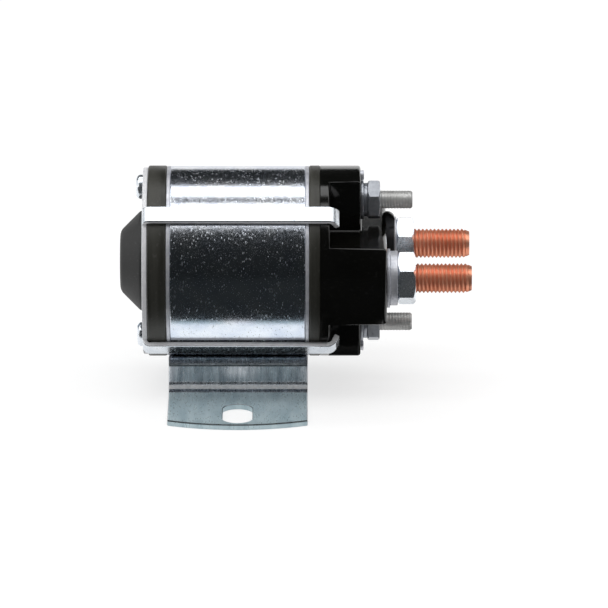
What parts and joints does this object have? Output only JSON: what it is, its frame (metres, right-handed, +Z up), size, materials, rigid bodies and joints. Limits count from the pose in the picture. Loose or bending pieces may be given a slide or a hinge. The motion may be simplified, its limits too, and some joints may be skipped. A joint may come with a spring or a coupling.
{
  "type": "contactor",
  "caption": "Plunger contactor with a round plated coil can on a slotted saddle bracket, a cross-shaped black contact housing, copper main studs and steel coil terminals.",
  "frame": {"origin": "middle of the two mounting slots, on the underside of the feet", "axes": "+X along the coil's axis, from the plunger cap to the studs; +Z up from the feet to the can"},
  "size_m": [0.0942, 0.082, 0.0598],
  "materials": {
    "zinc_steel": "bright zinc plate",
    "housing_plastic": "glossy",
    "insulator_board": "satin",
    "cap_plastic": "matte",
    "gasket_rubber": "matte",
    "copper": "bright copper",
    "winding_wire": "enamelled",
    "terminal_steel": "plated",
    "core_iron": "machined",
    "guide_brass": "drawn",
    "spring_steel": "drawn",
    "bobbin_nylon": "natural"
  },
  "bodies": {
    "frame": {"end_cap": "cap_plastic", "cap_gasket": "gasket_rubber", "end_frame": "zinc_steel", "end_screws": "zinc_steel", "rear_insulator": "insulator_board", "rear_flux_plate": "zinc_steel", "can": "zinc_steel", "bobbin": "bobbin_nylon", "winding": "winding_wire", "coil_leads": "winding_wire", "guide_tube": "guide_brass", "fixed_core": "core_iron", "front_flux_plate": "zinc_steel", "front_insulator": "insulator_board", "mounting_bracket": "zinc_steel", "contact_housing": "housing_plastic", "line_stud": "copper", "load_stud": "copper", "main_flat_washers": "zinc_steel", "main_lock_washers": "zinc_steel", "main_nuts": "zinc_steel", "coil_terminal_upper": "terminal_steel", "coil_terminal_lower": "terminal_steel", "coil_flat_washers": "zinc_steel", "coil_lock_washers": "zinc_steel", "coil_nuts": "zinc_steel", "return_spring": "spring_steel"},
    "plunger": {"plunger": "core_iron", "plunger_shaft": "terminal_steel", "spring_seat": "zinc_steel", "shaft_clip": "spring_steel", "bridge_retainer": "zinc_steel", "contact_spring": "spring_steel"},
    "contact_bridge": {"contact_bridge": "copper", "bridge_bushing": "bobbin_nylon"}
  },
  "joints": [
    {"name": "plunger_travel", "type": "slide", "parent": "frame", "child": "plunger", "axis": [1, 0, 0], "range_m": [0, 0.003], "stiffness_N_per_m": 400, "springref_m": -0.006, "deforming": ["return_spring"]},
    {"name": "contact_overtravel", "type": "slide", "parent": "plunger", "child": "contact_bridge", "axis": [1, 0, 0], "range_m": [-0.0009, 0], "stiffness_N_per_m": 800, "springref_m": 0.002, "deforming": ["contact_spring"]}
  ]
}
